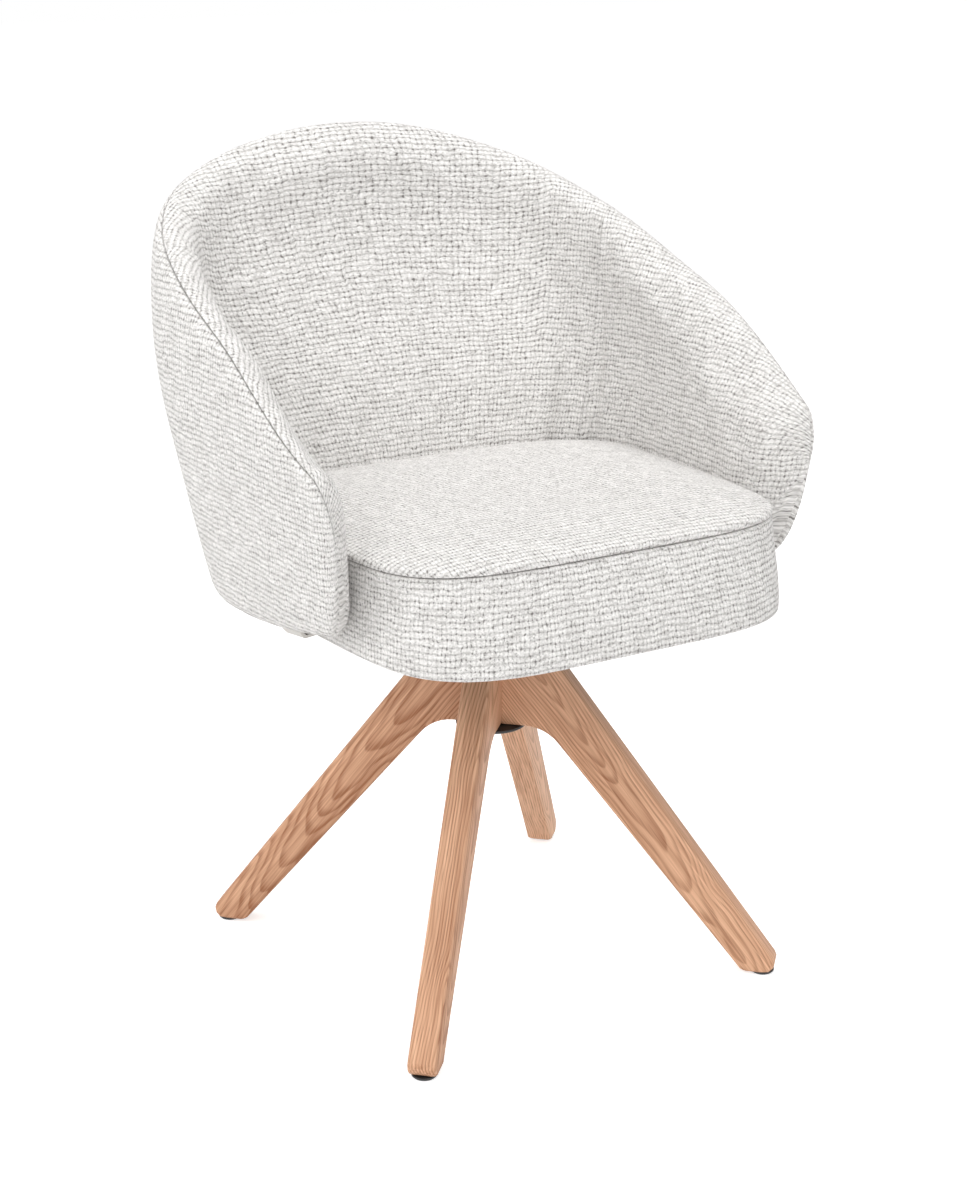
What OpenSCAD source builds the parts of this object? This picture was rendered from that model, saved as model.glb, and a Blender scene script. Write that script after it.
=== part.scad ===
// Upholstered swivel tub armchair on a base of four splayed boards.
// Millimetres, +Z up. The floor is z = 0 and the origin lies below the middle of the whole chair.
// The sitter faces -Y. The swivel axis is upright, a little in front of the origin.

/* [Overall] */
// Height of the back's rim above the floor
total_h = 841; // [820:1:860]
// Height of the seat's top seam above the floor
seat_h = 494; // [480:1:510]
// Height of the seat's upright band
seat_band_h = 94; // [88:1:96]

/* [Shell] */
// Width over the arms
shell_w = 592; // [570:1:620]
// Reach of the back behind the swivel axis
back_reach = 311; // [300:1:330]
// Reach of the arm fronts ahead of the swivel axis
arm_reach = 166; // [150:1:180]
// Distance of the shell's widest line behind the swivel axis
plan_set = 40; // [30:1:50]
// Depth of the curve that draws the arms in towards their fronts
front_depth = 381; // [360:1:460]
// How square the shell's plan is
plan_power = 3.55; // [2.8:0.05:4.2]
// Thickness of the padded shell at its thickest
pad_t = 52; // [44:1:56]
// Thickness of the outer panel
panel_t = 12; // [9:0.5:14]
// How far the rim seam lies in from the outer face
seam_in = 5; // [3:0.5:7]
// Height of the rounded rim roll on the inside
roll_h = 50; // [36:1:56]
// Height of the rounding on the outer edges
edge_round = 15; // [12:1:20]
// Height of the arm's foremost point above the seat's underside
nose_h = 130; // [115:1:145]
// Length of the arm's rounded front
nose_len = 24; // [18:1:36]
// Height of the shell's lower edge above the seat's underside
shell_lift = 2.6; // [1.5:0.1:5]
// Rise of the lower edge towards the arm fronts
arm_rise = 31; // [20:1:44]
// Plan angle of the two upright seams on the inner cover
wing_angle = 64; // [55:1:72]
// How far the covers are drawn in at a seam
seam_draw = 1.5; // [1:0.1:2.5]

/* [Seat cushion] */
// Reach of the seat's front ahead of the swivel axis
seat_reach = 255; // [246:1:260]
// How square the front of the seat's plan is
seat_power = 4.7; // [3.8:0.1:5.2]
// How far the front of the band leans back at the top seam
band_lean = 27; // [14:1:30]
// How far the front corners swell sideways past the arms
front_swell = 8; // [4:0.5:10]
// Thickness of the band
band_t = 12; // [9:0.5:14]
// Height of the crown of the top panel above its seam
crown_h = 16; // [10:1:22]
// Space between the seat and the shell's inner face
seat_gap = 1.6; // [1.4:0.1:3]
// Thickness of the seat board
board_t = 15; // [12:1:18]
// Thickness of the cloth under the board
cloth_t = 1; // [0.8:0.1:1.5]

/* [Legs] */
// Thickness of the leg boards
leg_t = 28.6; // [26:0.2:32]
// Outer edge of the foot, from the swivel axis
foot_out = 316; // [308:1:322]
// Inner edge of the foot, from the swivel axis
foot_in = 271; // [264:1:276]
// Outer edge of the leg at the hub's top, from the swivel axis
hub_out = 52; // [48:1:56]
// Where the leg's inner edge would meet the hub's underside
crotch_r = 59; // [56:1:64]
// Height of the hub
hub_h = 96; // [88:1:100]
// Fillet between leg and hub underside
knee_r = 45; // [36:1:48]
// Rounding of the foot's outer corner
foot_round = 10; // [6:1:11]
// Rounding of the leg's long edges
leg_round = 4; // [2:0.5:6]
// Diameter of the floor glides
glide_d = 25; // [20:1:28]
// Height of the floor glides
glide_h = 3.5; // [3:0.5:6]
// Radius from the swivel axis to the glides' centres
glide_at = 292; // [288:1:294]

/* [Swivel] */
// Thickness of the black disc under the hub
disc_t = 3; // [2.5:0.5:4]
// Diameter of the black disc under the hub
disc_d = 74; // [66:1:75]
// Diameter of the plate on top of the legs
plate_d = 88; // [86:1:92]
// Thickness of the plate on top of the legs
plate_t = 4; // [4:0.5:5]
// Outer diameter of the column tube
column_d = 25; // [24:0.5:26]
// Wall of the column tube
column_wall = 2; // [1.5:0.1:2.2]
// Diameter of the spindle
spindle_d = 16; // [15:0.5:17]
// Thickness of a bearing race
race_t = 3; // [3:0.5:4]
// Inner diameter of the bearing races
race_in_d = 42; // [40:1:44]
// Outer diameter of the bearing races
race_out_d = 74; // [72:1:78]
// Diameter of the bearing balls
ball_d = 6; // [5.5:0.1:6.4]
// Number of bearing balls
ball_count = 12; // [8:1:16]
// Thickness of the ball cage
cage_t = 2; // [1.6:0.1:2.2]
// Thickness of the pressed swivel pan
pan_t = 3; // [2.5:0.1:3.5]
// Depth of the pan, from its floor's underside to its flange's top
pan_depth = 34.4; // [30:0.2:38]
// Diameter of the pan's middle
pan_floor_d = 92; // [86:1:100]
// Diameter at which the pan's rising wall ends
pan_rise_d = 140; // [130:1:144]
// Outer diameter of the pan's flange
pan_d = 196; // [190:1:210]
// Bolt circle of the pan's flange
bolt_circle = 168; // [164:1:172]

/* [Frame] */
// Diameter of the bent tube inside the shell
tube_d = 16; // [12:0.5:17]
// Depth of the tube's centre below the rim
tube_drop = 32; // [28:1:36]
// Height of the tube's lower run above the shell's lower edge
tube_lift = 22; // [18:1:30]
// Width of the steel straps
strap_w = 26; // [20:1:30]
// Thickness of the steel straps
strap_t = 3; // [2:0.5:3]
// Plan angle of the rear straps
strap_rear = 34; // [25:1:45]
// Plan angle of the side straps
strap_side = 105; // [88:1:107]

/* [Hidden] */
$fn = 48;

// Clearances
fit_gap = 0.3;
running_gap = 0.05;
hole_gap = 0.1;
mitre_gap = 0.15;
board_inset = 1.3;
cut = 1;

// Small hardware
wood_screw_d = 4;
wood_head_d = 8;
wood_head_h = 2.4;
leg_screw_len = 34;
disc_screw_len = 26;
leg_screw_at = 31;
disc_screw_at = 26;
strap_screw_len = 16;
strap_head_h = 2.5;
glide_pin_d = 5;
glide_pin_h = 14;
bolt_d = 6;
bolt_head_d = 12;
bolt_head_h = 3.5;
nut_barrel_d = 8;
nut_flange_d = 19;
nut_flange_t = 1.5;
nut_barrel_h = 10;
clip_t = 1.2;
clip_d = 20;
clip_groove = 0.8;
bush_flange_d = 30;
bush_flange_t = 1.5;
bush_h = 24;
spindle_head_d = 28;
spindle_head_h = 4;
spindle_tail = 8;
groove_depth = 1.2;
pan_bend = 5;
strap_end = 28;
strap_pitch = 20;
strap_bend = 5;

// Heights, from the floor up
seat_z0 = seat_h - seat_band_h;
board_z = seat_z0 + cloth_t;
board_top = board_z + board_t;
race_gap = ball_d - 2*groove_depth;
pan_floor_z = seat_z0 - pan_depth;
hub_top = pan_floor_z - 2*race_t - race_gap - plate_t;
hub_z0 = hub_top - hub_h;
disc_z = hub_z0 - disc_t;
plate_z = hub_top;
race_lo_z = plate_z + plate_t;
ball_z = race_lo_z + race_t - groove_depth + ball_d/2;
race_hi_z = race_lo_z + race_t + race_gap;
nose_z = seat_z0 + nose_h;

// The whole chair is centred over the origin
origin_set = (back_reach - seat_reach)/2;

// Shares of the half width, the back's reach and the padding, at even steps up the shell
half_width_shares = [0.894, 0.958, 1, 0.963, 0.847];
back_reach_shares = [0.56, 0.668, 0.784, 0.913, 0.995, 0.996];
pad_shares = [0.62, 0.9, 1, 0.96, 0.85, 0.73];
// Shares of the shell's height that the rim reaches, every 20 degrees of plan from the back's middle
rim_shares = [1, 0.978, 0.909, 0.806, 0.705, 0.609, 0.454];
rim_span = 120;
low_from = 80;

fabric_c = [0.89, 0.88, 0.86];
oak_c = [0.81, 0.64, 0.50];
black_c = [0.11, 0.11, 0.12];
steel_c = [0.70, 0.71, 0.73];
zinc_c = [0.80, 0.80, 0.76];
nylon_c = [0.92, 0.91, 0.86];
ply_c = [0.83, 0.70, 0.52];
foam_c = [0.93, 0.89, 0.74];

// Smooth curve through evenly spaced values; "even" mirrors it at its start
function pick(v, i, even) =
  i < 0 ? (even ? v[1] : 2*v[0] - v[1])
  : i > len(v) - 1 ? 2*v[len(v) - 1] - v[len(v) - 2]
  : v[i];
function blend(p, f) =
  (2*p[1] + (p[2] - p[0])*f + (2*p[0] - 5*p[1] + 4*p[2] - p[3])*f*f
  + (3*p[1] - p[0] - 3*p[2] + p[3])*f*f*f)/2;
function smooth(v, t, even = false) =
  let (n = len(v) - 1, u = max(0, t)*n, i = min(n - 1, floor(u)))
  blend([for (k = [-1:2]) pick(v, i + k, even)], u - i);
function ease(t) = let (c = min(1, max(0, t))) c*c*(3 - 2*c);

// The shell's surfaces: half width, back and padding at a height
function level(z) = (z - seat_z0)/(total_h - seat_z0);
function outer_half(z) = shell_w/2*smooth(half_width_shares, level(z));
function outer_back(z) = back_reach*smooth(back_reach_shares, level(z));
function pad_at(z) = pad_t*smooth(pad_shares, level(z));
// Radius of a squared oval at a plan angle
function oval(psi, a, b, power) =
  1/pow(pow(abs(sin(psi))/a, power) + pow(abs(cos(psi))/b, power), 1/power);
function plan_pt(psi, r, z) = [r*sin(psi), plan_set + r*cos(psi), z];
// A point of the shell, w inwards from its outer face
function shell_pt(psi, z, w) =
  let (b = abs(psi) <= 90 ? outer_back(z) - plan_set - w : front_depth)
  plan_pt(psi, oval(psi, outer_half(z) - w, b, plan_power), z);

// Where the arm fronts begin to round and where they end
tip_y = arm_reach + plan_set;
tip_x = (outer_half(nose_z) - seam_in)
  *pow(1 - pow(tip_y/front_depth, plan_power), 1/plan_power);
tip_angle = atan2(tip_x, -tip_y);
deg_per_mm = 180/PI/norm([tip_x, tip_y]);
nose_angle = tip_angle - nose_len*deg_per_mm;

function rim(psi) =
  seat_z0 + (total_h - seat_z0)*smooth(rim_shares, abs(psi)/rim_span, true);
function low_edge(psi) =
  let (t = max(0, abs(psi) - low_from)/(tip_angle - low_from))
  seat_z0 + shell_lift + arm_rise*t*t;

// A station of the shell is [plan angle, nose phase]; the phase runs to 90 at the arm's tip.
// A section point is [w, share of the padding, share of the height, offset in height].
function ring_pt(q, s) =
  let (lo = low_edge(q[0]), hi = rim(q[0]), e = cos(q[1]),
    z = nose_z + (lo + s[2]*(hi - lo) + s[3] - nose_z)*e,
    w = seam_in + (s[0] + s[1]*pad_at(z) - seam_in)*e)
  shell_pt(q[0], z, w);

// Section of the outer panel, from the rim seam down inside and back up the outer face.
// Each row is shares of [panel thickness, padding, height, edge rounding].
panel_shares = [
  [0.42, 0, 1, -0.24], [0.76, 0, 1, -0.6], [1, 0, 1, -1.5], [1, 0, 0.78, 0], [1, 0, 0.56, 0],
  [1, 0, 0.34, 0], [1, 0, 0, 0], [0.42, 0, 0, 0.16], [0.1, 0, 0, 0.7], [0, 0, 0, 1.6],
  [0, 0, 0.34, 0], [0, 0, 0.56, 0], [0, 0, 0.78, 0], [0, 0, 1, -1.1], [0.14, 0, 1, -0.5]
];
function panel_section() =
  [for (s = panel_shares) [s[0]*panel_t, s[1], s[2], s[3]*edge_round]];
// Section of the inner pads, from the rim seam over the roll, down the inner face and back up.
// Each row is shares of [panel thickness, padding, height, roll height].
// Rows with no padding lie on the panel, and their last share is of the edge rounding.
pad_section_shares = [
  [0.42, 0, 1, -0.24], [0.2, 0.14, 1, -0.02], [0.1, 0.36, 1, 0.01], [0, 0.6, 1, -0.06],
  [0, 0.78, 1, -0.2], [0, 0.9, 1, -0.44], [0, 0.97, 1, -0.74], [0, 1, 1, -1.1], [0, 1, 0.5, 0],
  [0, 1, 0.3, 0], [0, 1, 0.16, 0], [0, 0.97, 0, 0.14], [0, 0.86, 0, 0.03], [0, 0.7, 0, 0],
  [1, 0, 0, 0], [1, 0, 0.34, 0], [1, 0, 0.56, 0], [1, 0, 0.78, 0], [1, 0, 1, -1.5],
  [0.76, 0, 1, -0.6]
];
function pad_section(draw) =
  [for (i = [0:len(pad_section_shares) - 1])
    let (s = pad_section_shares[i], on_panel = s[0] > 0 && s[1] == 0)
    [s[0]*panel_t + (on_panel ? fit_gap : -draw), s[1], s[2],
      on_panel ? s[3]*edge_round : s[3]*roll_h - draw/3]];

// Plan angles of the gap at an upright seam and of the seam's drawn-in strip
fit_turn = fit_gap*deg_per_mm;
seam_turn = seam_draw*1.6*deg_per_mm;
side_steps = 12;
nose_phase_shares = [0.2, 0.4, 0.58, 0.73, 0.86, 0.943];
// Stations along one side: from the upright seam to the tip of the arm
side_stations = concat(
  [[wing_angle, 0], [wing_angle + fit_turn + seam_turn, 0]],
  [for (i = [1:side_steps]) [wing_angle + (nose_angle - wing_angle)*i/side_steps, 0]],
  [for (p = nose_phase_shares) [nose_angle + (tip_angle - nose_angle)*sin(90*p), 90*p]]
);
back_steps = 20;
back_stations = [for (i = [1:back_steps - 1]) [-wing_angle + 2*wing_angle*i/back_steps, 0]];
function mirrored(v) = [for (i = [len(v) - 1:-1:0]) [-v[i][0], v[i][1]]];

// A closed solid through equal rings; "loop" joins the last ring to the first.
// Up to ring "half_rings" or point "half_points" the facets are the mirror image of the rest.
module loft(rings, loop = false, half_rings = 0, half_points = 0) {
  n = len(rings[0]);
  m = len(rings);
  sides = [for (i = [0:m - (loop ? 1 : 2)], j = [0:n - 1])
    let (a = i*n + j, b = i*n + (j + 1)%n, c = ((i + 1)%m)*n + j, d = ((i + 1)%m)*n + (j + 1)%n)
    each i < half_rings || j < half_points ? [[a, c, b], [b, c, d]] : [[a, d, b], [a, c, d]]];
  ends = loop ? [] : [[for (j = [0:n - 1]) j], [for (j = [n - 1:-1:0]) (m - 1)*n + j]];
  polyhedron([for (r = rings) each r], concat(ends, sides), convexity = 8);
}
module place() {
  translate([0, -origin_set, 0])
    children();
}

// Shell covers
module outer_panel() {
  stations = concat(mirrored(side_stations), back_stations, side_stations);
  color(fabric_c)
    place()
      loft([for (q = stations) [for (s = panel_section()) ring_pt(q, s)]],
        half_rings = floor(len(stations)/2));
}
function drawn(i, last) = i == 0 || i == last ? seam_draw : 0;
module back_pad() {
  edge = wing_angle - fit_turn;
  stations = concat([[-edge, 0], [-edge + seam_turn, 0]], back_stations,
    [[edge - seam_turn, 0], [edge, 0]]);
  color(fabric_c)
    place()
      loft([for (i = [0:len(stations) - 1])
        [for (s = pad_section(drawn(i, len(stations) - 1))) ring_pt(stations[i], s)]],
        half_rings = floor(len(stations)/2));
}
module wing_pad(side) {
  edge = wing_angle + fit_turn;
  stations = concat([[edge, 0]], [for (i = [1:len(side_stations) - 1]) side_stations[i]]);
  color(fabric_c)
    place()
      loft([for (q = stations)
        let (p = pad_section(q[0] > edge + seam_turn/2 ? 0 : seam_draw), n = len(p))
        [for (j = [0:n - 1]) ring_pt([side*q[0], q[1]], p[side > 0 ? j : n - 1 - j])]],
        half_rings = side > 0 ? len(stations) : 0);
}
module wing_pad_left() {
  wing_pad(1);
}
module wing_pad_right() {
  wing_pad(-1);
}

// Seat: the sides and back follow the shell's inner face, the front is its own curve
lean_from = 105;
lean_span = 35;
swell_from = 124;
swell_span = 18;
function lean(psi, z) =
  band_lean*ease((abs(psi) - lean_from)/lean_span)*pow(max(0, z - seat_z0)/seat_band_h, 1.3);
function swell(psi, z) =
  front_swell*ease((abs(psi) - swell_from)/swell_span)*(1 + ease(2*(z - seat_z0)/seat_band_h))/2;
function seat_pt(psi, z, w) =
  let (in_w = pad_at(z) + seat_gap + w, front = abs(psi) > 90,
    a = outer_half(z) - in_w + swell(psi, z),
    b = front ? seat_reach + plan_set - w - lean(psi, z) : outer_back(z) - plan_set - in_w)
  plan_pt(psi, oval(psi, a, b, front ? seat_power : plan_power), z);
seat_steps = 72;
seat_turns = [for (i = [0:seat_steps - 1]) 360*i/seat_steps - 180];
// Section of the band: shares of [band thickness, band height]
band_shares = [
  [1, 1], [1, 0.65], [1, 0.3], [1, 0], [0.34, 0.04], [0.08, 0.13], [0, 0.26], [0, 0.5], [0, 0.76],
  [0.03, 0.93], [0.16, 1]
];
module seat_band() {
  color(fabric_c)
    place()
      loft([for (psi = seat_turns) [for (s = band_shares)
        seat_pt(psi, seat_z0 + fit_gap + s[1]*(seat_band_h - 2*fit_gap), s[0]*band_t)]], true,
        half_rings = seat_steps/2);
}
// Rings of the top panel, downwards: shares of [band thickness, crown height, size]
top_shares = [
  [1.6, 1, 0.14], [1.6, 0.97, 0.42], [1.6, 0.88, 0.76], [1.6, 0.74, 1], [0.6, 0.6, 1],
  [0.16, 0.44, 1], [0, 0.26, 1], [0.02, 0.1, 1], [0.16, 0, 1]
];
seat_mid = [0, (outer_back(seat_h) - pad_t - seat_reach)/2, 0];
module seat_top() {
  rings = [for (s = top_shares) [for (psi = seat_turns)
    let (p = seat_pt(psi, seat_h, s[0]*band_t), k = s[2])
    [seat_mid[0] + k*(p[0] - seat_mid[0]), seat_mid[1] + k*(p[1] - seat_mid[1]),
      seat_h + s[1]*crown_h]]];
  color(fabric_c)
    place()
      loft(rings, half_points = seat_steps/2);
}
foam_levels = [1, 0.7, 0.35, 0];
module seat_foam() {
  z0 = board_top + fit_gap;
  z1 = seat_h - fit_gap;
  color(foam_c)
    place()
      loft([for (k = foam_levels) [for (psi = seat_turns)
        seat_pt(psi, z0 + k*(z1 - z0), band_t + board_inset)]], half_points = seat_steps/2);
}
function flat(v) = [for (p = v) [p[0], p[1]]];
function reach(p) = norm([p[0], p[1] - plan_set]);
// The board is upright at its edge, so it keeps inside the band at both of its faces
function board_pt(psi) =
  let (low = seat_pt(psi, board_z, band_t + board_inset),
    high = seat_pt(psi, board_top, band_t + board_inset))
  reach(low) < reach(high) ? low : high;
module board_outline() {
  polygon(flat([for (psi = seat_turns) board_pt(psi)]));
}
module at_bolts() {
  for (i = [0:3])
    rotate([0, 0, 45 + 90*i])
      translate([bolt_circle/2, 0, 0])
        children();
}
module seat_board() {
  color(ply_c)
    place()
      difference() {
        translate([0, 0, board_z])
          linear_extrude(board_t)
            board_outline();
        at_bolts() {
          translate([0, 0, board_z - cut])
            cylinder(h = board_t + 2*cut, d = nut_barrel_d + 2*hole_gap);
          translate([0, 0, board_top - nut_flange_t - hole_gap])
            cylinder(h = nut_flange_t + cut, d = nut_flange_d + 2*hole_gap);
        }
        at_strap_screws()
          translate([0, 0, board_z - cut])
            cylinder(h = strap_screw_len + cut, d = wood_screw_d + 2*hole_gap);
      }
}
module under_cloth() {
  color(black_c)
    place()
      translate([0, 0, seat_z0])
        linear_extrude(cloth_t)
          difference() {
            board_outline();
            at_bolts()
              circle(d = bolt_d + 4*hole_gap);
            at_strap_screws()
              circle(d = wood_screw_d + 4*hole_gap);
          }
}

// Bent tube inside the shell: a closed loop along the rim and back along the lower edge
tube_w = panel_t + fit_gap + tube_d/2 + wood_head_h;
tube_bend = 54*deg_per_mm;
tube_turn = tip_angle - tube_d*deg_per_mm - tube_bend - 6;
function tube_mid(psi, v) =
  let (top = rim(psi) - tube_drop, bottom = low_edge(psi) + tube_lift)
  shell_pt(psi, (top + bottom)/2 + v*(top - bottom)/2, tube_w);
tube_steps = 24;
bend_steps = 7;
tube_path = concat(
  [for (i = [0:tube_steps]) [-tube_turn + 2*tube_turn*i/tube_steps, 1]],
  [for (i = [1:bend_steps]) let (a = 180*i/(bend_steps + 1)) [tube_turn + tube_bend*sin(a), cos(a)]],
  [for (i = [0:tube_steps]) [tube_turn - 2*tube_turn*i/tube_steps, -1]],
  [for (i = [1:bend_steps]) let (a = 180*i/(bend_steps + 1)) [-tube_turn - tube_bend*sin(a), -cos(a)]]
);
function unit(v) = v/norm(v);
module frame_tube() {
  n = len(tube_path);
  rings = [for (i = [0:n - 1])
    let (q = tube_path[i], p = tube_mid(q[0], q[1]),
      a = tube_mid(tube_path[(i + 1)%n][0], tube_path[(i + 1)%n][1]),
      b = tube_mid(tube_path[(i + n - 1)%n][0], tube_path[(i + n - 1)%n][1]),
      t = unit(a - b), out = [sin(q[0]), cos(q[0]), 0], u = unit(out - (out*t)*t), s = cross(t, u))
    [for (k = [0:7]) p + tube_d/2*(cos(-45*k)*u + sin(-45*k)*s)]];
  color(steel_c)
    place()
      loft(rings, true);
}
strap_turns = [-strap_side, -strap_rear, strap_rear, strap_side];
function strap_top(psi) = reach(tube_mid(psi, -1));
function strap_foot(psi) = reach(shell_pt(psi, seat_z0, tube_w));
function strap_start(psi) = strap_foot(psi) - strap_end - 2*strap_pitch;
module along(psi) {
  translate([0, plan_set, 0])
    rotate([0, 0, 90 - psi])
      children();
}
module frame_straps() {
  z0 = seat_z0 - strap_t;
  color(steel_c)
    place()
      for (psi = strap_turns)
        along(psi)
          difference() {
            rotate([90, 0, 0])
              translate([0, 0, -strap_w/2])
                linear_extrude(strap_w)
                  polygon([
                    [strap_start(psi), z0],
                    [strap_foot(psi) + strap_t/2 - strap_bend, z0],
                    [strap_foot(psi) + strap_t/2, z0 + strap_bend],
                    [strap_top(psi) + strap_t/2, tube_mid(psi, -1)[2] - tube_d/2 - fit_gap],
                    [strap_top(psi) - strap_t/2, tube_mid(psi, -1)[2] - tube_d/2 - fit_gap],
                    [strap_foot(psi) - strap_t/2, z0 + strap_bend + strap_t/2],
                    [strap_foot(psi) - strap_bend, seat_z0],
                    [strap_start(psi), seat_z0]
                  ]);
            for (k = [0.5, 1.5])
              translate([strap_start(psi) + k*strap_pitch, 0, z0 - cut])
                cylinder(h = strap_t + 2*cut, d = wood_screw_d + 2*hole_gap);
          }
}
module at_strap_screws() {
  for (psi = strap_turns, k = [0.5, 1.5])
    along(psi)
      translate([strap_start(psi) + k*strap_pitch, 0, 0])
        children();
}
module strap_screws() {
  color(zinc_c)
    place()
      at_strap_screws()
        translate([0, 0, seat_z0 - strap_t])
          rotate_extrude()
            polygon([
              [0, -strap_head_h],
              [wood_head_d/4, -strap_head_h],
              [wood_head_d/2, -strap_head_h/2],
              [wood_head_d/2, 0],
              [wood_screw_d/2, 0],
              [wood_screw_d/2, strap_screw_len - wood_screw_d/2],
              [0, strap_screw_len]
            ]);
}

// Legs: rings from the foot through the knee to the mitre at the hub
leg_slope = [foot_out - hub_out, glide_h - hub_top];
inner_slope = [foot_in - crotch_r, glide_h - hub_z0];
function on_outer(t) = [hub_out, hub_top] + t*leg_slope;
function on_inner(t) = [crotch_r, hub_z0] + t*inner_slope;
// The outer edge straight across from a point of the inner edge
function across(p) = let (u = unit(leg_slope)) [hub_out, hub_top] + ((p - [hub_out, hub_top])*u)*u;
knee_lean = atan2(hub_z0 - glide_h, foot_in - crotch_r);
knee_len = knee_r*tan(knee_lean/2);
knee_start = knee_len/norm(inner_slope);
foot_chamfer = 1.5;
foot_rise = 12;
foot_steps = 4;
knee_steps = 6;
// The foot's outer corner, from its underside round to the leg's outer edge
outer_lean = atan2(hub_top - glide_h, foot_out - hub_out);
function foot_pt(k) =
  let (turn = k*(180 - outer_lean))
  [foot_out - foot_round/tan(outer_lean/2) + foot_round*sin(turn),
    glide_h + foot_round*(1 - cos(turn))];
function knee_pt(k) =
  [crotch_r - knee_len + knee_r*sin(k*knee_lean), hub_z0 - knee_r*(1 - cos(k*knee_lean))];
function leg_stations() =
  let (high = across(on_inner(knee_start)), mitre = leg_t/2 + mitre_gap,
    inner_end = column_d/2 + fit_gap)
  concat(
    [[foot_pt(0), on_inner(1) + [foot_chamfer, 0], leg_t/2 - foot_chamfer]],
    [for (i = [1:foot_steps])
      [foot_pt(i/foot_steps), on_inner(1 - i/foot_steps*foot_rise/norm(inner_slope)), leg_t/2]],
    [for (t = [0.75, 0.5])
      [across(on_inner(t)), on_inner(t), leg_t/2]],
    [for (i = [0:knee_steps])
      [high + (on_outer(0) - high)*i/knee_steps, knee_pt(1 - i/knee_steps), leg_t/2]],
    [[[mitre, hub_top], [mitre, hub_z0], leg_t/2]],
    [[[inner_end, hub_top], [inner_end, hub_z0], inner_end - mitre_gap]]
  );
corner_turns = [0, 45, 90];
function leg_ring(q) =
  let (o = q[0], i = q[1], h = q[2], r = min(leg_round, h/2), u = unit(o - i), mid = (o + i)/2,
    l = norm(o - i)/2)
  [for (c = [0:3], a = corner_turns)
    let (sx = c == 0 || c == 3 ? 1 : -1, sy = c < 2 ? 1 : -1, turn = a + 90*c,
      x = sx*(l - r) + r*cos(turn), y = sy*(h - r) + r*sin(turn), p = mid + x*u)
    [p[0], y, p[1]]];
module leg(turn) {
  color(oak_c)
    place()
      rotate([0, 0, turn])
        difference() {
          loft([for (q = leg_stations()) leg_ring(q)]);
          translate([glide_at, 0, glide_h - cut])
            cylinder(h = glide_pin_h + 2*cut, d = glide_pin_d + 2*hole_gap);
          translate([leg_screw_at, 0, hub_top - leg_screw_len])
            cylinder(h = leg_screw_len + cut, d = wood_screw_d + 2*hole_gap);
          translate([disc_screw_at, 0, hub_z0 - cut])
            cylinder(h = disc_screw_len + cut, d = wood_screw_d + 2*hole_gap);
        }
}
module leg_front_left() {
  leg(-45);
}
module leg_front_right() {
  leg(-135);
}
module leg_rear_left() {
  leg(45);
}
module leg_rear_right() {
  leg(135);
}
module glide(turn) {
  color(black_c)
    place()
      rotate([0, 0, turn])
        translate([glide_at, 0, 0])
          rotate_extrude()
            polygon([
              [0, 0],
              [glide_d/2 - glide_h/2, 0],
              [glide_d/2, glide_h/2],
              [glide_d/2, glide_h],
              [glide_pin_d/2, glide_h],
              [glide_pin_d/2, glide_h + glide_pin_h - glide_pin_d/2],
              [0, glide_h + glide_pin_h]
            ]);
}
module glide_front_left() {
  glide(-45);
}
module glide_front_right() {
  glide(-135);
}
module glide_rear_left() {
  glide(45);
}
module glide_rear_right() {
  glide(135);
}

// Countersunk wood screw, pointing up from z = 0 at its head
module wood_screw(len) {
  rotate_extrude()
    polygon([
      [0, 0],
      [wood_head_d/2, 0],
      [wood_screw_d/2, wood_head_h],
      [wood_screw_d/2, len - wood_screw_d],
      [0, len]
    ]);
}
module screw_seat(len) {
  translate([0, 0, -hole_gap])
    cylinder(h = wood_head_h, d1 = wood_head_d + 2*hole_gap, d2 = wood_screw_d + 2*hole_gap);
  cylinder(h = len, d = wood_screw_d + 2*hole_gap);
}
module at_legs(r) {
  for (i = [0:3])
    rotate([0, 0, 45 + 90*i])
      translate([r, 0, 0])
        children();
}
module hub_disc() {
  color(black_c)
    place()
      translate([0, 0, disc_z])
        difference() {
          rotate_extrude()
            polygon([
              [0, 0],
              [disc_d/2 - disc_t/3, 0],
              [disc_d/2, disc_t/3],
              [disc_d/2, disc_t],
              [0, disc_t]
            ]);
          at_legs(disc_screw_at)
            screw_seat(disc_t + cut);
        }
}
module hub_disc_screws() {
  color(black_c)
    place()
      translate([0, 0, disc_z])
        at_legs(disc_screw_at)
          wood_screw(disc_screw_len);
}
module base_plate() {
  color(black_c)
    place()
      translate([0, 0, plate_z])
        difference() {
          cylinder(h = plate_t, d = plate_d);
          translate([0, 0, -cut])
            cylinder(h = plate_t + 2*cut, d = column_d + 2*hole_gap);
          at_legs(leg_screw_at)
            translate([0, 0, plate_t])
              mirror([0, 0, 1])
                screw_seat(plate_t + cut);
        }
}
module leg_screws() {
  color(zinc_c)
    place()
      translate([0, 0, plate_z + plate_t])
        mirror([0, 0, 1])
          at_legs(leg_screw_at)
            wood_screw(leg_screw_len);
}
bore_d = column_d - 2*column_wall;
module column() {
  color(steel_c)
    place()
      translate([0, 0, hub_z0])
        difference() {
          cylinder(h = hub_h + plate_t, d = column_d);
          translate([0, 0, -cut])
            cylinder(h = hub_h + plate_t + 2*cut, d = bore_d);
        }
}
module bush_upper() {
  top = plate_z + plate_t;
  color(nylon_c)
    place()
      difference() {
        union() {
          translate([0, 0, top - bush_h])
            cylinder(h = bush_h + bush_flange_t, d = bore_d - 2*running_gap);
          translate([0, 0, top])
            cylinder(h = bush_flange_t, d = bush_flange_d);
        }
        translate([0, 0, top - bush_h - cut])
          cylinder(h = bush_h + bush_flange_t + 2*cut, d = spindle_d + 2*running_gap);
      }
}
bush_lower_z = hub_z0 + spindle_tail + 2*clip_t;
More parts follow.
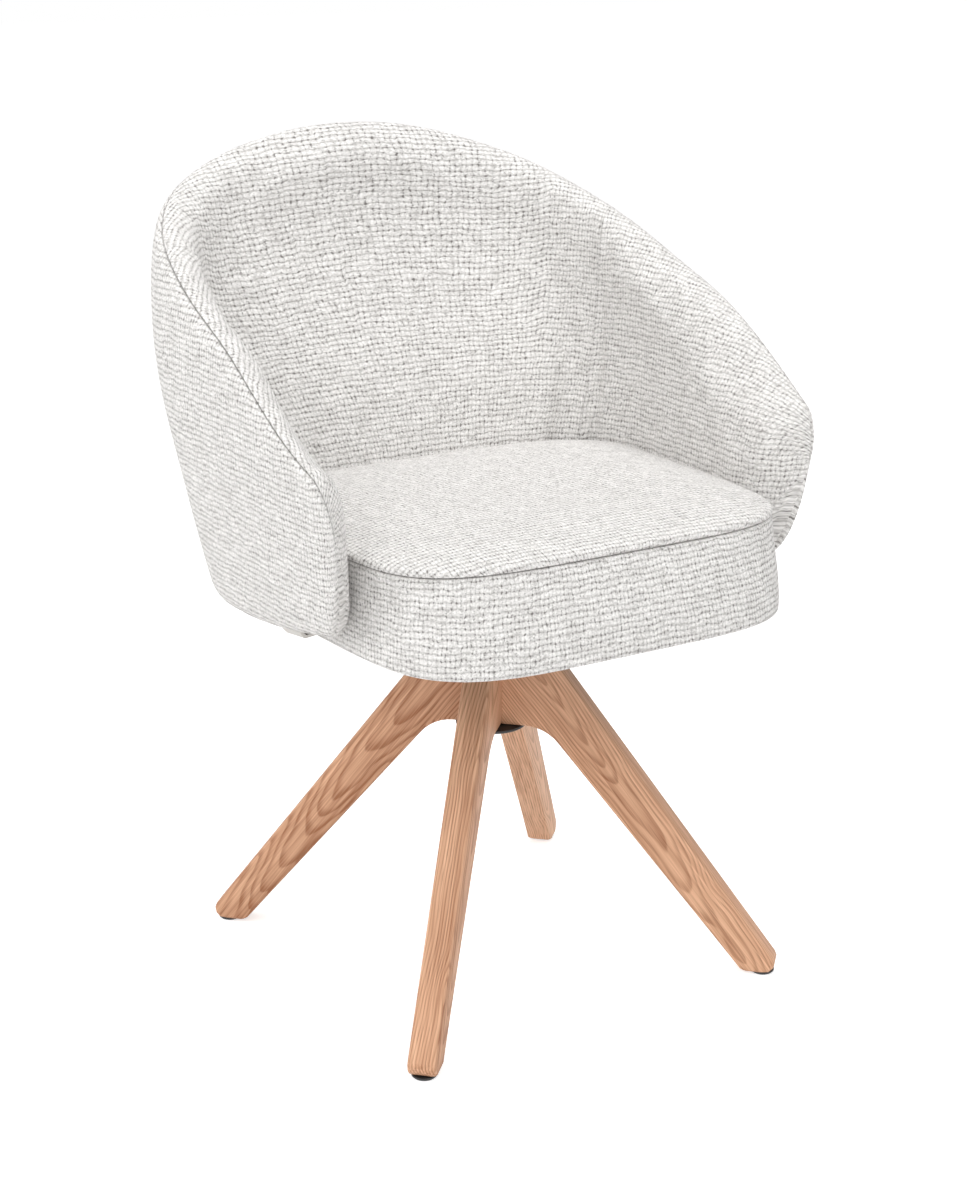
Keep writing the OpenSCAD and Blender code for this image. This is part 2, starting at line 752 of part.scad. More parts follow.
module bush_lower() {
  color(nylon_c)
    place()
      translate([0, 0, bush_lower_z])
        difference() {
          cylinder(h = bush_h, d = bore_d - 2*running_gap);
          translate([0, 0, -cut])
            cylinder(h = bush_h + 2*cut, d = spindle_d + 2*running_gap);
        }
}

// Thrust bearing: two grooved races with caged balls between them
ball_circle = (race_in_d + race_out_d)/2;
module race() {
  difference() {
    cylinder(h = race_t, d = race_out_d);
    translate([0, 0, -cut])
      cylinder(h = race_t + 2*cut, d = race_in_d);
    translate([0, 0, race_t - groove_depth + ball_d/2])
      rotate_extrude()
        translate([ball_circle/2, 0])
          circle(d = ball_d + 2*running_gap);
  }
}
module race_lower() {
  color(steel_c)
    place()
      translate([0, 0, race_lo_z])
        race();
}
module race_upper() {
  color(steel_c)
    place()
      translate([0, 0, race_hi_z + race_t])
        mirror([0, 0, 1])
          race();
}
module at_balls() {
  for (i = [0:ball_count - 1])
    rotate([0, 0, 360*i/ball_count])
      translate([ball_circle/2, 0, ball_z])
        children();
}
module ball_cage() {
  color(zinc_c)
    place()
      difference() {
        translate([0, 0, ball_z - cage_t/2])
          difference() {
            cylinder(h = cage_t, d = race_out_d - ball_d);
            translate([0, 0, -cut])
              cylinder(h = cage_t + 2*cut, d = race_in_d + ball_d);
          }
        at_balls()
          translate([0, 0, -cage_t])
            cylinder(h = 2*cage_t, d = ball_d + 2*hole_gap);
      }
}
module bearing_balls() {
  color(steel_c)
    place()
      at_balls()
        sphere(d = ball_d);
}

// Swivel pan: a pressed dish, its floor on the bearing and its flange under the seat
module swivel_pan() {
  z0 = pan_floor_z;
  z1 = seat_z0 - pan_t;
  r0 = pan_floor_d/2;
  r1 = pan_rise_d/2;
  color(black_c)
    place()
      difference() {
        rotate_extrude()
          polygon([
            [spindle_d/2 + hole_gap, z0],
            [r0 - pan_bend, z0],
            [r0, z0 + pan_bend/2],
            [r1 - pan_bend/2, z1 - pan_bend/2],
            [r1 + pan_bend/2, z1],
            [pan_d/2 - pan_t, z1],
            [pan_d/2, z1 + pan_t/2],
            [pan_d/2, seat_z0],
            [r1, seat_z0],
            [r1 - pan_bend, seat_z0 - pan_bend/2],
            [r0 - pan_bend/2, z0 + pan_t + pan_bend/2],
            [r0 - pan_bend, z0 + pan_t],
            [spindle_d/2 + hole_gap, z0 + pan_t]
          ]);
        at_bolts()
          translate([0, 0, z1 - cut])
            cylinder(h = pan_t + 2*cut, d = bolt_d + 2*hole_gap);
      }
}
module spindle() {
  z0 = hub_z0 + spindle_tail - 2*clip_t;
  top = pan_floor_z + pan_t;
  r = spindle_d/2;
  color(steel_c)
    place()
      rotate_extrude()
        polygon([
          [0, z0],
          [r - clip_groove, z0],
          [r, z0 + clip_groove],
          [r, bush_lower_z - clip_t - 2*hole_gap],
          [r - clip_groove, bush_lower_z - clip_t - 2*hole_gap],
          [r - clip_groove, bush_lower_z],
          [r, bush_lower_z],
          [r, top],
          [spindle_head_d/2, top],
          [spindle_head_d/2, top + spindle_head_h - clip_groove],
          [spindle_head_d/2 - clip_groove, top + spindle_head_h],
          [0, top + spindle_head_h]
        ]);
}
module circlip() {
  color(steel_c)
    place()
      translate([0, 0, bush_lower_z - clip_t - hole_gap])
        difference() {
          cylinder(h = clip_t, d = clip_d);
          translate([0, 0, -cut])
            cylinder(h = clip_t + 2*cut, d = spindle_d - 2*clip_groove + 2*running_gap);
          translate([0, -clip_groove, -cut])
            cube([clip_d, 2*clip_groove, clip_t + 2*cut]);
        }
}
module pan_bolts() {
  z0 = seat_z0 - pan_t - bolt_head_h;
  color(zinc_c)
    place()
      at_bolts()
        translate([0, 0, z0]) {
          cylinder(h = bolt_head_h, d = bolt_head_d, $fn = 6);
          cylinder(h = bolt_head_h + pan_t + cloth_t + board_t - nut_flange_t, d = bolt_d);
        }
}
module tee_nuts() {
  color(zinc_c)
    place()
      at_bolts()
        difference() {
          union() {
            translate([0, 0, board_top - nut_barrel_h])
              cylinder(h = nut_barrel_h, d = nut_barrel_d);
            translate([0, 0, board_top - nut_flange_t])
              cylinder(h = nut_flange_t, d = nut_flange_d);
          }
          translate([0, 0, board_top - nut_barrel_h - cut])
            cylinder(h = nut_barrel_h + 2*cut, d = bolt_d + 2*running_gap);
        }
}

leg_front_left();
leg_front_right();
leg_rear_left();
leg_rear_right();
glide_front_left();
glide_front_right();
glide_rear_left();
glide_rear_right();
hub_disc();
hub_disc_screws();
base_plate();
leg_screws();
column();
bush_upper();
bush_lower();
race_lower();
ball_cage();
bearing_balls();
race_upper();
swivel_pan();
spindle();
circlip();
pan_bolts();
tee_nuts();
seat_board();
under_cloth();
seat_foam();
seat_band();
seat_top();
frame_tube();
frame_straps();
strap_screws();
back_pad();
wing_pad_left();
wing_pad_right();
outer_panel();
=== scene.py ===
# Upholstered swivel tub armchair: upholstery, materials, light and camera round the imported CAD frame.
import math

import bmesh
import bpy
import numpy as np
from mathutils import Matrix, Vector


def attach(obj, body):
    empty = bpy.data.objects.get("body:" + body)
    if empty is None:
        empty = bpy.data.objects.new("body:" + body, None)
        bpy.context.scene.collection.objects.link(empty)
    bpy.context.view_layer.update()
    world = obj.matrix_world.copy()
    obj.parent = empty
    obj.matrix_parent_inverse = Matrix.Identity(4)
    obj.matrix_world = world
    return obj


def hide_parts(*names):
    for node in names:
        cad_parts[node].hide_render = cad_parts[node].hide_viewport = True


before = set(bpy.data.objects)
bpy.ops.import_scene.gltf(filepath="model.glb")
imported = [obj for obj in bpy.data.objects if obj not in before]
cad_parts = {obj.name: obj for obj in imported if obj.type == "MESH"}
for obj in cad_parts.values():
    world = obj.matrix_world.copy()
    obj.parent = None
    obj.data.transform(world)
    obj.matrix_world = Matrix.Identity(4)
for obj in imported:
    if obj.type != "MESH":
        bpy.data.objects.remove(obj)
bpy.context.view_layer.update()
SCENE = bpy.context.scene

# Sizes of the shell, in millimetres from the swivel axis, as in the CAD source
TOTAL_H = 841.0
SEAT_H = 494.0
BAND_H = 94.0
SHELL_W = 592.0
BACK_REACH = 311.0
ARM_REACH = 166.0
PLAN_SET = 40.0
FRONT_DEPTH = 381.0
PLAN_POWER = 3.55
PAD_T = 52.0
PANEL_T = 12.0
SEAM_IN = 5.0
ROLL_H = 50.0
EDGE_ROUND = 15.0
NOSE_H = 130.0
NOSE_LEN = 24.0
SHELL_LIFT = 2.6
ARM_RISE = 31.0
WING_ANGLE = 64.0
SEAT_REACH = 255.0
SEAT_POWER = 4.7
BAND_LEAN = 27.0
FRONT_SWELL = 8.0
BAND_T = 12.0
CROWN_H = 16.0
SEAT_GAP = 1.6
BOARD_T = 15.0
CLOTH_T = 1.0
FIT_GAP = 0.3
SEAT_Z0 = SEAT_H - BAND_H
ORIGIN_SET = (BACK_REACH - SEAT_REACH) / 2
NOSE_Z = SEAT_Z0 + NOSE_H
HALF_WIDTH_SHARES = [0.894, 0.958, 1, 0.963, 0.847]
BACK_REACH_SHARES = [0.56, 0.668, 0.784, 0.913, 0.995, 0.996]
PAD_SHARES = [0.62, 0.9, 1, 0.96, 0.85, 0.73]
RIM_SHARES = [1, 0.978, 0.909, 0.806, 0.705, 0.609, 0.454]
RIM_SPAN = 120.0
LOW_FROM = 80.0

# Spacing of the upholstery meshes, in millimetres
GRID = 5.5
# How far the covers may swell, and how far they start below their CAD faces, in millimetres
PAD_SWELL = 5.0
BAND_SWELL = 5.0
TOP_SWELL = 12.0
COVER_INSET = 2.0
BAND_INSET = 1.5
TOP_DROP = 5.0
# Pressure of the filling under each cover
BACK_PRESSURE = 0.95
WING_PRESSURE = 2.0
BAND_PRESSURE = 14.0
TOP_PRESSURE = 3.0
# Width of the sewn joints between the pads
JOIN_GAP = 0.3
# Frames of the cloth simulation, and seam distance beyond which the weave has no painted seam shade, in millimetres
LAST_FRAME = 20
FAR_FROM_SEAM = 30.0
# Faces with more corners than this are split into triangles
CAP_CORNERS = 40


# Shell shape, as in the CAD source
def smooth(values, t, even=False):
    v = np.asarray(values, float)
    n = len(v) - 1
    first = v[1] if even else 2 * v[0] - v[1]
    full = np.concatenate([[first], v, [2 * v[-1] - v[-2]]])
    u = np.maximum(0, np.asarray(t, float)) * n
    i = np.minimum(n - 1, np.floor(u)).astype(int)
    f = u - i
    a, b, c, d = full[i], full[i + 1], full[i + 2], full[i + 3]
    return (2 * b + (c - a) * f + (2 * a - 5 * b + 4 * c - d) * f**2 + (3 * b - a - 3 * c + d) * f**3) / 2


def ease(t):
    c = np.clip(t, 0, 1)
    return c * c * (3 - 2 * c)


def level(z):
    return (z - SEAT_Z0) / (TOTAL_H - SEAT_Z0)


def outer_half(z):
    return SHELL_W / 2 * smooth(HALF_WIDTH_SHARES, level(z))


def outer_back(z):
    return BACK_REACH * smooth(BACK_REACH_SHARES, level(z))


def pad_at(z):
    return PAD_T * smooth(PAD_SHARES, level(z))


def oval(psi, a, b, power):
    p = np.radians(psi)
    return 1 / ((np.abs(np.sin(p)) / a) ** power + (np.abs(np.cos(p)) / b) ** power) ** (1 / power)


def plan_pt(psi, r, z):
    p = np.radians(psi)
    return np.stack([r * np.sin(p), PLAN_SET + r * np.cos(p), z + 0 * r], -1)


def shell_pt(psi, z, w):
    b = np.where(np.abs(psi) <= 90, outer_back(z) - PLAN_SET - w, FRONT_DEPTH)
    return plan_pt(psi, oval(psi, outer_half(z) - w, b, PLAN_POWER), z)


TIP_Y = ARM_REACH + PLAN_SET
TIP_X = (outer_half(NOSE_Z) - SEAM_IN) * (1 - (TIP_Y / FRONT_DEPTH) ** PLAN_POWER) ** (1 / PLAN_POWER)
TIP_ANGLE = math.degrees(math.atan2(TIP_X, -TIP_Y))
DEG_PER_MM = 180 / math.pi / math.hypot(TIP_X, TIP_Y)
NOSE_ANGLE = TIP_ANGLE - NOSE_LEN * DEG_PER_MM


def rim(psi):
    return SEAT_Z0 + (TOTAL_H - SEAT_Z0) * smooth(RIM_SHARES, np.abs(psi) / RIM_SPAN, True)


def low_edge(psi):
    t = np.maximum(0, np.abs(psi) - LOW_FROM) / (TIP_ANGLE - LOW_FROM)
    return SEAT_Z0 + SHELL_LIFT + ARM_RISE * t * t


def ring_pt(psi, phase, s):
    e = np.cos(np.radians(phase))
    lo, hi = low_edge(psi), rim(psi)
    z = NOSE_Z + (lo + s[..., 2] * (hi - lo) + s[..., 3] - NOSE_Z) * e
    w = SEAM_IN + (s[..., 0] + s[..., 1] * pad_at(z) - SEAM_IN) * e
    return shell_pt(psi, z, w)


def lean(psi, z):
    return BAND_LEAN * ease((np.abs(psi) - 105) / 35) * np.maximum(0, (z - SEAT_Z0) / BAND_H) ** 1.3


def swell(psi, z):
    return FRONT_SWELL * ease((np.abs(psi) - 124) / 18) * (1 + ease(2 * (z - SEAT_Z0) / BAND_H)) / 2


def seat_pt(psi, z, w):
    in_w = pad_at(z) + SEAT_GAP + w
    a = outer_half(z) - in_w + swell(psi, z)
    front = np.abs(psi) > 90
    b = np.where(front, SEAT_REACH + PLAN_SET - w - lean(psi, z), outer_back(z) - PLAN_SET - in_w)
    r = np.where(front, oval(psi, a, b, SEAT_POWER), oval(psi, a, b, PLAN_POWER))
    return plan_pt(psi, r, z)


# Curves through section points
def dense(rows, scale, step):
    """A smooth curve through a section's rows, with a point about every step millimetres."""
    p = np.asarray(rows, float)
    q = p * scale
    gaps = np.sqrt(np.linalg.norm(np.diff(q, axis=0), axis=1))
    t = np.concatenate([[0], np.cumsum(gaps)])
    first, last = 2 * p[0] - p[1], 2 * p[-1] - p[-2]
    full = np.vstack([first, p, last])
    tt = np.concatenate([[-gaps[0]], t, [t[-1] + gaps[-1]]])
    out = []
    for i in range(len(p) - 1):
        n = max(1, int(math.ceil(np.linalg.norm(q[i + 1] - q[i]) / step)))
        m0 = (full[i + 2] - full[i]) / (tt[i + 2] - tt[i])
        m1 = (full[i + 3] - full[i + 1]) / (tt[i + 3] - tt[i + 1])
        h = t[i + 1] - t[i]
        for k in range(n):
            f = k / n
            out.append(
                (2 * f**3 - 3 * f**2 + 1) * p[i] + (f**3 - 2 * f**2 + f) * h * m0
                + (3 * f**2 - 2 * f**3) * p[i + 1] + (f**3 - f**2) * h * m1
            )
    return np.array(out + [p[-1]])


SHELL_SCALE = np.array([1, 45, 340, 1.0])


def panel_rows():
    """The outer panel's section, in two runs that meet at the rim seam."""
    outside = [[0.76, 0, 0, 0.04], [0.42, 0, 0, 0.16], [0.1, 0, 0, 0.7], [0, 0, 0, 1.6], [0, 0, 0.34, 0],
               [0, 0, 0.56, 0], [0, 0, 0.78, 0], [0, 0, 1, -1.1], [0.14, 0, 1, -0.5], [0.42, 0, 1, -0.24]]
    inside = [[0.42, 0, 1, -0.24], [0.76, 0, 1, -0.6], [1, 0, 1, -1.5], [1, 0, 0.5, 0], [1, 0, 0, 0.3],
              [0.76, 0, 0, 0.04]]
    size = np.array([PANEL_T, 1, 1, EDGE_ROUND])
    a = dense(np.array(outside) * size, SHELL_SCALE, GRID)
    b = dense(np.array(inside) * size, SHELL_SCALE, 3 * GRID)
    return np.vstack([a, b[1:-1]]), len(a)


def pad_rows(inset):
    """The inner pads' section, from the foot of the inner face up and over the roll to the rim seam and back."""
    front = [[0, 0.7, 0, 0], [0, 0.86, 0, 0.03], [0, 0.97, 0, 0.14], [0, 1, 0.16, 0], [0, 1, 0.3, 0],
             [0, 1, 0.5, 0], [0, 1, 1, -1.1], [0, 0.97, 1, -0.74], [0, 0.9, 1, -0.44], [0, 0.78, 1, -0.2],
             [0, 0.6, 1, -0.06], [0.1, 0.36, 1, 0.01], [0.2, 0.14, 1, -0.02]]
    rim_row = [0.42 * PANEL_T, 0, 1, -0.24 * EDGE_ROUND]
    back = [[0.42, 0, 1, -0.24], [0.76, 0, 1, -0.6], [1, 0, 1, -1.5], [1, 0, 0.5, 0], [1, 0, 0, 0], [0, 0.7, 0, 0]]
    size = np.array([PANEL_T, 1, 1, ROLL_H])
    f = dense(np.vstack([np.array(front) * size, rim_row]), SHELL_SCALE, GRID)
    reach = np.linspace(0, 1, len(f))
    draw = inset * np.clip(np.minimum(reach, 1 - reach) * 12, 0, 1)
    b = np.array(back) * np.array([PANEL_T, 1, 1, EDGE_ROUND])
    b[1:-1, 0] += FIT_GAP
    b = dense(b, SHELL_SCALE, 3 * GRID)
    rows = np.vstack([f, b[1:-1]])
    drawn = np.zeros((len(rows), 2))
    drawn[:len(f)] = np.stack([draw, draw * np.clip((reach - 0.75) * 6, 0, 1)], 1)
    return rows, len(f), drawn


def side_stations():
    """Plan angle and nose phase from the upright seam to the arm's tip."""
    far = np.arange(WING_ANGLE, NOSE_ANGLE, GRID * DEG_PER_MM)
    phases = np.array([0, 0.1, 0.2, 0.3, 0.4, 0.49, 0.58, 0.66, 0.73, 0.8, 0.86, 0.91, 0.95, 0.98])
    nose = NOSE_ANGLE + (TIP_ANGLE - NOSE_ANGLE) * np.sin(np.radians(90 * phases))
    return np.vstack([np.stack([far, 0 * far], 1), np.stack([nose, 90 * phases], 1)])


def back_stations(edge):
    n = int(2 * edge / (GRID / 275 * 57.3))
    psi = np.linspace(-edge, edge, n + 1)
    return np.stack([psi, 0 * psi], 1)


def mirrored(stations):
    return stations[::-1] * np.array([-1, 1])


# Mesh building
def to_row(points):
    return (np.asarray(points) - np.array([0, ORIGIN_SET, 0])) / 1000


def make_mesh(name, points, faces, weave=None):
    mesh = bpy.data.meshes.new(name)
    mesh.from_pydata(to_row(points).tolist(), [], faces)
    mesh.update()
    if weave is not None:
        made = mesh.attributes.new("weave", "FLOAT_VECTOR", "POINT")
        made.data.foreach_set("vector", (np.asarray(weave) / 1000).ravel())
    obj = bpy.data.objects.new(name, mesh)
    SCENE.collection.objects.link(obj)
    mesh.polygons.foreach_set("use_smooth", [True] * len(mesh.polygons))
    return obj


def loft_faces(m, n, loop=False):
    faces = []
    for i in range(m if loop else m - 1):
        a, b = i * n, ((i + 1) % m) * n
        for j in range(n):
            k = (j + 1) % n
            faces.append((a + j, b + j, b + k, a + k))
    if not loop:
        faces.append(tuple(range(n)))
        faces.append(tuple((m - 1) * n + j for j in range(n - 1, -1, -1)))
    return faces


def crease_ring(obj, starts, count):
    """Keeps the edge loops that begin at these points sharp under subdivision."""
    mesh = obj.data
    rings = {}
    for start in starts:
        for j in range(count):
            rings[start + j] = start
    made = mesh.attributes.new("crease_edge", "FLOAT", "EDGE")
    ends = np.empty(2 * len(mesh.edges), int)
    mesh.edges.foreach_get("vertices", ends)
    ends = ends.reshape(-1, 2)
    ring = np.full(len(mesh.vertices), -1)
    for point, start in rings.items():
        ring[point] = start
    sharp = (ring[ends[:, 0]] >= 0) & (ring[ends[:, 0]] == ring[ends[:, 1]])
    made.data.foreach_set("value", sharp.astype(float))


def outward(obj):
    """Splits the end caps, which subdivide slowly when whole, and turns the faces outwards."""
    bm = bmesh.new()
    bm.from_mesh(obj.data)
    bmesh.ops.triangulate(bm, faces=[f for f in bm.faces if len(f.verts) > CAP_CORNERS])
    bmesh.ops.recalc_face_normals(bm, faces=bm.faces)
    bm.to_mesh(obj.data)
    bm.free()
    return obj


def flat_cloth(psi_row, rings, n_front):
    """Weave coordinates: along the shell at the bottom, then unrolled over the rim's roll."""
    m, n, _ = rings.shape
    foot = rings[:, 0]
    steps = np.linalg.norm(np.diff(foot[:, :2], axis=0), axis=1)
    u0 = np.concatenate([[0], np.cumsum(steps)])
    u0 -= np.interp(0, psi_row, u0)
    hi = rim(psi_row)
    along = np.gradient(hi) / np.maximum(np.gradient(u0), 1e-6)
    beta = np.arctan(along)[:, None]
    d = np.diff(rings[:, :n_front], axis=1)
    dz = d[..., 2]
    dw = np.linalg.norm(d[..., :2], axis=2)
    lo = np.cos(beta)
    dl = np.sqrt((dz * lo) ** 2 + dw**2)
    bend = np.clip(dw / np.maximum(np.abs(dz), 1e-6), 0, 1)
    rows_v = np.where(bend > 0.5, np.sin(beta) ** 2 * dz + np.cos(beta) * dl, dz)
    rows_u = np.where(bend > 0.5, np.sin(beta) * np.cos(beta) * dz - np.sin(beta) * dl, 0)
    u = np.zeros((m, n))
    v = np.zeros((m, n))
    u[:, 0] = u0
    v[:, 0] = foot[:, 2]
    u[:, 1:n_front] = u0[:, None] + np.cumsum(rows_u, axis=1)
    v[:, 1:n_front] = foot[:, 2:3] + np.cumsum(rows_v, axis=1)
    u[:, n_front:] = u[:, :1]
    v[:, n_front:] = rings[:, n_front:, 2]
    return u, v


def distance_rows(rings, n_front):
    """Distance of each point from the section's seam at the rim, along the front of the section."""
    m, n, _ = rings.shape
    d = np.linalg.norm(np.diff(rings[:, :n_front], axis=1), axis=2)
    s = np.concatenate([np.zeros((m, 1)), np.cumsum(d, axis=1)], axis=1)
    out = np.full((m, n), FAR_FROM_SEAM)
    out[:, :n_front] = s[:, -1:] - s
    return out


def shell_piece(name, stations, rows, n_front, drawn=None, edges=()):
    """A closed cover through the stations, drawn in for the filling to push out.

    Returns the cover and how free each of its points is.
    """
    psi = stations[:, 0][:, None]
    phase = stations[:, 1][:, None]
    section = np.repeat(rows[None], len(stations), axis=0)
    if drawn is not None:
        share = np.ones(len(stations))
        for edge in edges:
            share = np.minimum(share, np.clip(np.abs(psi[:, 0] - psi[edge, 0]) / (16 * DEG_PER_MM), 0.08, 1))
        section[..., 0] -= drawn[None, :, 0] * share[:, None]
        section[..., 3] -= drawn[None, :, 1] * share[:, None]
    rings = ring_pt(psi, phase, section)
    u, v = flat_cloth(stations[:, 0], rings, n_front)
    seam = distance_rows(rings, n_front)
    m, n = u.shape
    # The third weave coordinate is the distance from the rim seam, which sets the painted seam shade
    weave = np.stack([u, v, np.minimum(seam, FAR_FROM_SEAM)], -1).reshape(-1, 3)
    for edge in edges:
        gap = np.linalg.norm(rings[:, :n_front] - rings[edge:(edge + 1) or None, :n_front], axis=2)
        seam[:, :n_front] = np.minimum(seam[:, :n_front], gap)
    obj = outward(make_mesh(name, rings.reshape(-1, 3), loft_faces(m, n), weave))
    if edges:
        crease_ring(obj, [(m - 1) * n if e < 0 else e * n for e in edges], n)
    front = np.zeros((m, n))
    front[:, 1:n_front - 1] = 1
    front *= np.clip((seam - 1.5) / 10, 0, 1)
    front[:, :n_front] *= np.cos(np.radians(phase)) ** 0.5
    return obj, front.ravel()


def puff(obj, free, cap, pressure):
    """Cloth simulation of a padded cover under pressure; points with free 0 are held."""
    mesh = obj.data
    n = len(mesh.vertices)
    start = np.empty(3 * n)
    mesh.vertices.foreach_get("co", start)
    start = start.reshape(-1, 3)
    hold = obj.vertex_groups.new(name="hold")
    shares = np.round(1 - free, 2)
    for value in np.unique(shares):
        if value > 0:
            hold.add(np.nonzero(shares == value)[0].tolist(), float(value), "REPLACE")
    cloth = obj.modifiers.new("Cloth", "CLOTH")
    s = cloth.settings
    s.quality = 6
    s.mass = 0.2
    s.tension_stiffness = 20
    s.compression_stiffness = 12
    s.shear_stiffness = 6
    s.bending_stiffness = 1.2
    s.use_pressure = True
    s.uniform_pressure_force = pressure
    s.vertex_group_mass = "hold"
    s.effector_weights.gravity = 0
    cloth.collision_settings.use_collision = False
    cloth.collision_settings.use_self_collision = False
    cloth.point_cache.frame_start = 1
    cloth.point_cache.frame_end = LAST_FRAME
    for f in range(1, LAST_FRAME + 1):
        SCENE.frame_set(f)
    made = obj.evaluated_get(bpy.context.evaluated_depsgraph_get()).to_mesh()
    end = np.empty(3 * n)
    made.vertices.foreach_get("co", end)
    end = end.reshape(-1, 3)
    move = (end - start) * 1000
    far = np.linalg.norm(move, axis=1, keepdims=True)
    move *= np.minimum(1, cap / np.maximum(far, 1e-9))
    move *= np.minimum(1, free * 4)[:, None]
    obj.modifiers.remove(cloth)
    SCENE.frame_set(1)
    mesh.vertices.foreach_set("co", (start + move / 1000).ravel())
    mesh.update()


def finish_cover(obj, body, nodes, subdivide=1):
    if subdivide:
        sub = obj.modifiers.new("Subdivision", "SUBSURF")
        sub.levels = subdivide
        sub.render_levels = subdivide
    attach(obj, body)
    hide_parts(*nodes)


# Node helpers
class Tree:
    def __init__(self, name):
        self.material = bpy.data.materials.new(name)
        self.material.use_nodes = True
        self.nodes = self.material.node_tree.nodes
        self.links = self.material.node_tree.links
        self.shader = self.nodes["Principled BSDF"]

    def add(self, kind, **values):
        node = self.nodes.new(kind)
        for key, value in values.items():
            setattr(node, key, value)
        return node

    def put(self, socket, value):
        if isinstance(value, bpy.types.NodeSocket):
            self.links.new(value, socket)
        elif value is not None:
            socket.default_value = value

    def math(self, operation, a, b=None, c=None, clamp=False):
        node = self.add("ShaderNodeMath", operation=operation, use_clamp=clamp)
        for socket, value in zip(node.inputs, (a, b, c)):
            self.put(socket, value)
        return node.outputs[0]

    def vector(self, x, y, z=0.0):
        node = self.add("ShaderNodeCombineXYZ")
        for socket, value in zip(node.inputs, (x, y, z)):
            self.put(socket, value)
        return node.outputs[0]

    def split(self, vector):
        node = self.add("ShaderNodeSeparateXYZ")
        self.put(node.inputs[0], vector)
        return node.outputs

    def noise(self, vector, scale, detail=2.0, roughness=0.5, colour=False):
        node = self.add("ShaderNodeTexNoise")
        self.put(node.inputs["Vector"], vector)
        node.inputs["Scale"].default_value = scale
        node.inputs["Detail"].default_value = detail
        node.inputs["Roughness"].default_value = roughness
        return node.outputs["Color" if colour else "Fac"]

    def remap(self, value, a, b, c=0.0, d=1.0, smooth_step=False):
        node = self.add("ShaderNodeMapRange")
        if smooth_step:
            node.interpolation_type = "SMOOTHSTEP"
        self.put(node.inputs["Value"], value)
        for key, x in zip(("From Min", "From Max", "To Min", "To Max"), (a, b, c, d)):
            self.put(node.inputs[key], x)
        return node.outputs["Result"]

    def mix(self, factor, a, b):
        node = self.add("ShaderNodeMix", data_type="RGBA")
        for i, value in zip((0, 6, 7), (factor, a, b)):
            self.put(node.inputs[i], value)
        return node.outputs[2]

    def bump(self, height, distance, strength=1.0):
        node = self.add("ShaderNodeBump")
        node.inputs["Strength"].default_value = strength
        node.inputs["Distance"].default_value = distance
        self.put(node.inputs["Height"], height)
        self.links.new(node.outputs[0], self.shader.inputs["Normal"])

    def set(self, **values):
        for key, value in values.items():
            self.put(self.shader.inputs[key.replace("_", " ")], value)


def grey(r, g, b):
    """Linear colour from 8-bit values."""
    def one(c):
        c /= 255
        return c / 12.92 if c <= 0.04045 else ((c + 0.055) / 1.055) ** 2.4
    return (one(r), one(g), one(b), 1)


# Woven cover: a grid of loops in level rows, with dark specks in the gaps between them, and painted shade along the
# rim seam
ROW_PITCH = 0.0057
LOOP_PITCH = 0.0042

# Oak: distance between growth rings and of the leg's middle from the axis at its foot, in metres, and its tones
RING_PITCH = 0.0026
LEG_LINE = 0.236
OAK_LIGHT = (238, 191, 156)
OAK_DARK = (160, 106, 74)

# Share by which the mottling of plain surfaces goes up and down
MOTTLE = 0.12


